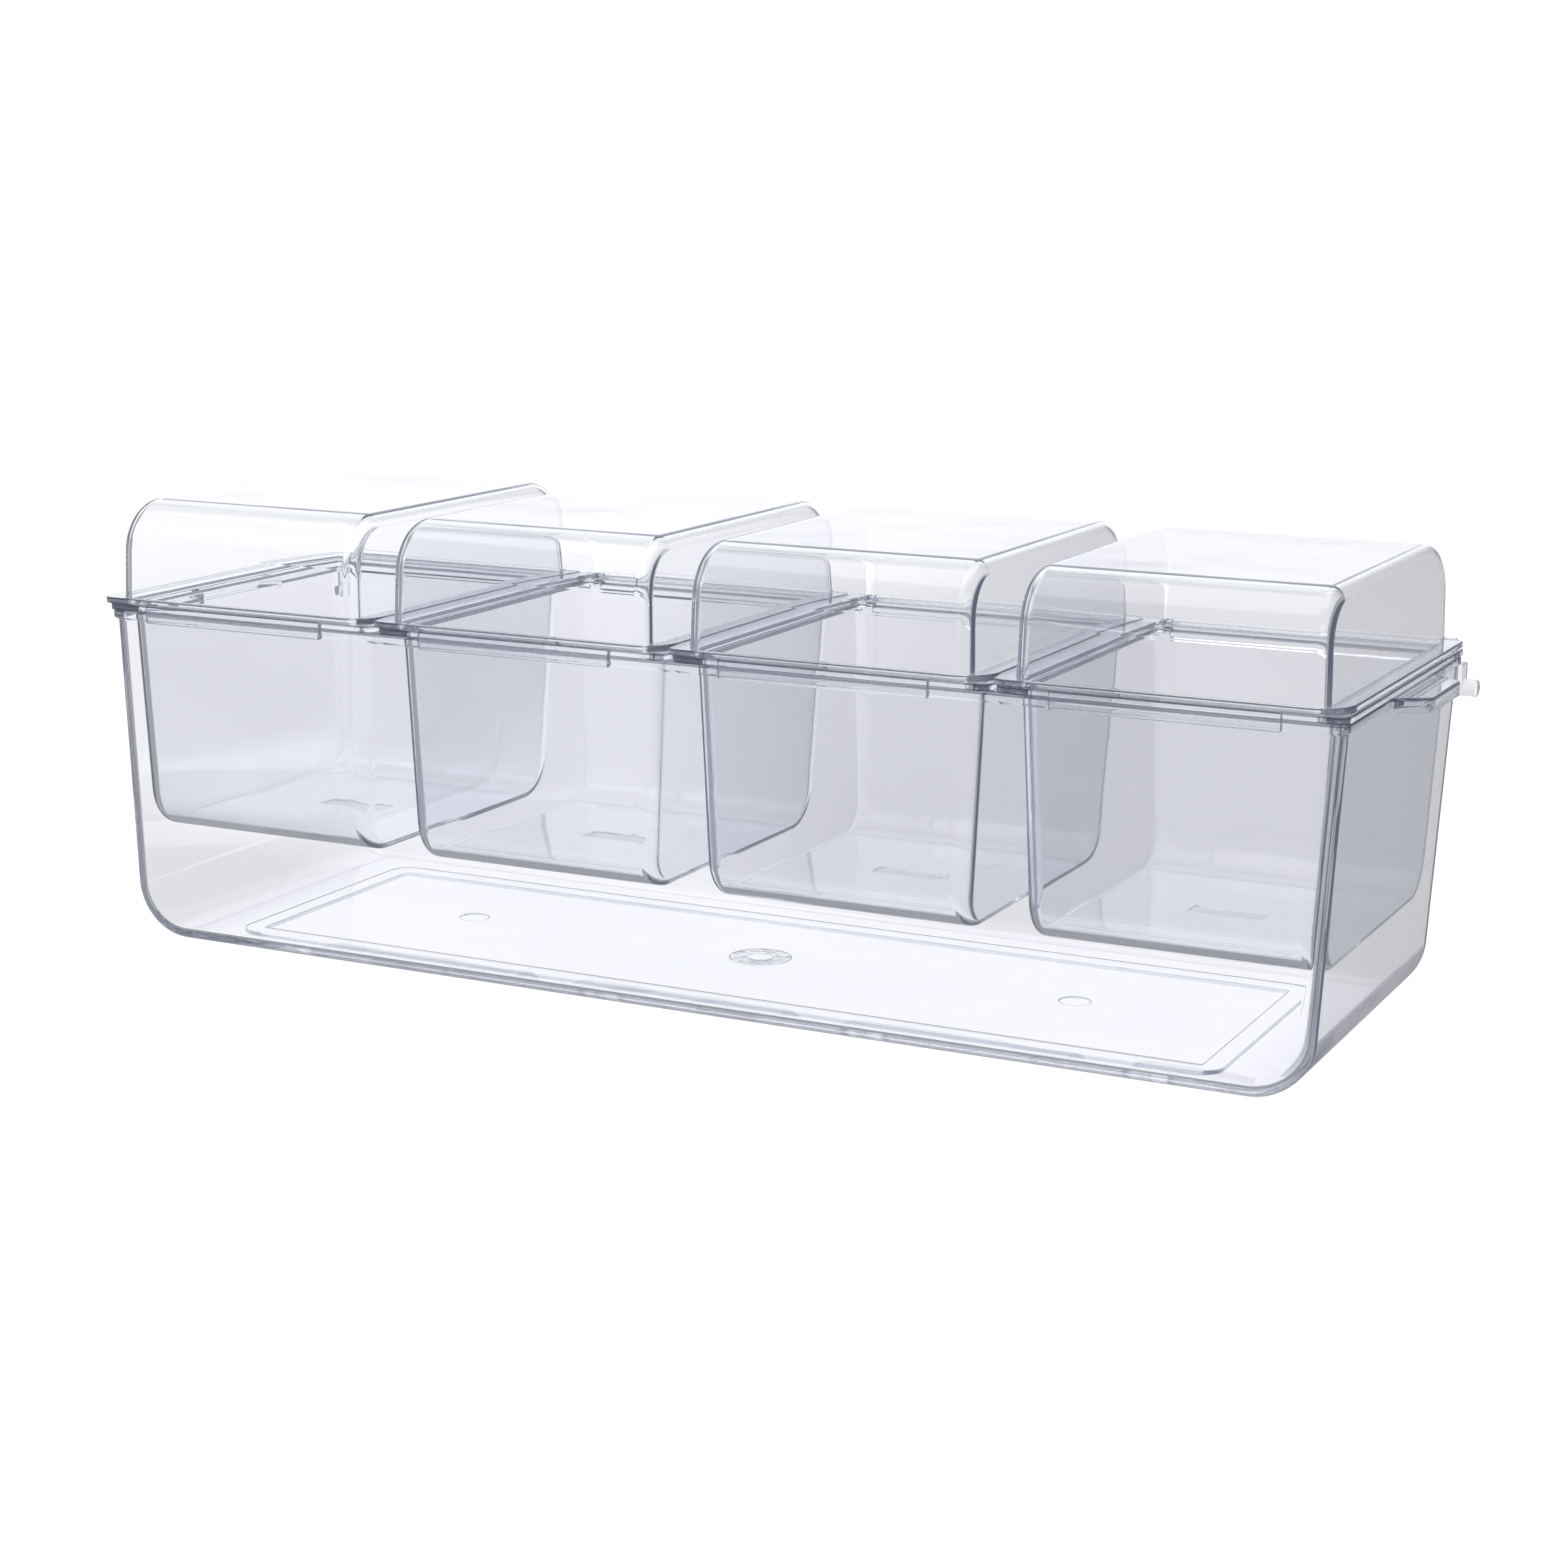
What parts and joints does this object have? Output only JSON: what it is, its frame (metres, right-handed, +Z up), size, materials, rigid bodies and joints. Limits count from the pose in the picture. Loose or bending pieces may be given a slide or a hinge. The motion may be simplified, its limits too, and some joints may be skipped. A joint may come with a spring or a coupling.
{
  "type": "condiment caddy with flip lids",
  "caption": "Long clear tray for ice with a row of lift-out food cups hung on its rim, each under a domed lid hinged at the back.",
  "frame": {"origin": "middle of the whole object's box, on the table", "axes": "+Z up, +X along the row of cups, -Y the front with the lift tabs, +Y the hinge side"},
  "size_m": [0.3368, 0.1096, 0.1133],
  "materials": {
    "clear_tray": "clear moulded plastic, polished",
    "clear_cup": "clear moulded plastic, polished",
    "clear_lid": "clear moulded plastic, polished"
  },
  "bodies": {
    "tray": {"tray": "clear_tray"},
    "cup_1": {"cup_1": "clear_cup"},
    "cup_2": {"cup_2": "clear_cup"},
    "cup_3": {"cup_3": "clear_cup"},
    "cup_4": {"cup_4": "clear_cup"},
    "lid_1": {"lid_1": "clear_lid"},
    "lid_2": {"lid_2": "clear_lid"},
    "lid_3": {"lid_3": "clear_lid"},
    "lid_4": {"lid_4": "clear_lid"}
  },
  "joints": [
    {"name": "cup_1_lift", "type": "slide", "parent": "tray", "child": "cup_1", "axis": [0, 0, 1], "range_m": [0, 0.06]},
    {"name": "lid_1_hinge", "type": "hinge", "parent": "cup_1", "child": "lid_1", "pos_m": [-0.1209, 0.0524, 0.0866], "axis": [-1, 0, 0], "range_deg": [0, 105]},
    {"name": "cup_2_lift", "type": "slide", "parent": "tray", "child": "cup_2", "axis": [0, 0, 1], "range_m": [0, 0.06]},
    {"name": "lid_2_hinge", "type": "hinge", "parent": "cup_2", "child": "lid_2", "pos_m": [-0.0403, 0.0524, 0.0866], "axis": [-1, 0, 0], "range_deg": [0, 105]},
    {"name": "cup_3_lift", "type": "slide", "parent": "tray", "child": "cup_3", "axis": [0, 0, 1], "range_m": [0, 0.06]},
    {"name": "lid_3_hinge", "type": "hinge", "parent": "cup_3", "child": "lid_3", "pos_m": [0.0403, 0.0524, 0.0866], "axis": [-1, 0, 0], "range_deg": [0, 105]},
    {"name": "cup_4_lift", "type": "slide", "parent": "tray", "child": "cup_4", "axis": [0, 0, 1], "range_m": [0, 0.06]},
    {"name": "lid_4_hinge", "type": "hinge", "parent": "cup_4", "child": "lid_4", "pos_m": [0.1209, 0.0524, 0.0866], "axis": [-1, 0, 0], "range_deg": [0, 105]}
  ]
}
